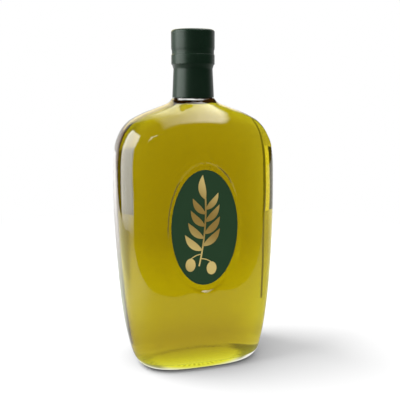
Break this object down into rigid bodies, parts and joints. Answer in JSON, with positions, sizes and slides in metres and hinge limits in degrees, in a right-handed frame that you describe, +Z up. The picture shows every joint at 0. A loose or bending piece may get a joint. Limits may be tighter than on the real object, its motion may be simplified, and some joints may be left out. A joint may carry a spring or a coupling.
{
  "type": "bottle of olive oil",
  "caption": "Flat-sided clear glass flask filled with golden-green olive oil, shut with a dark green capsule, an oval green label set into its front.",
  "frame": {"origin": "centre of the flask's foot, on the surface it stands on", "axes": "+Z up along the neck, broad front with the label towards -Y, width along X"},
  "size_m": [0.1204, 0.0692, 0.2495],
  "materials": {
    "clear_glass": "clear, polished",
    "olive_oil": "clear golden-green liquid",
    "green_capsule": "satin, very dark green",
    "green_label": "satin dark green paper",
    "gold_foil": "stamped gold foil"
  },
  "bodies": {
    "root": {"glass_bottle": "clear_glass", "olive_oil": "olive_oil", "capsule": "green_capsule", "label": "green_label"}
  },
  "joints": []
}
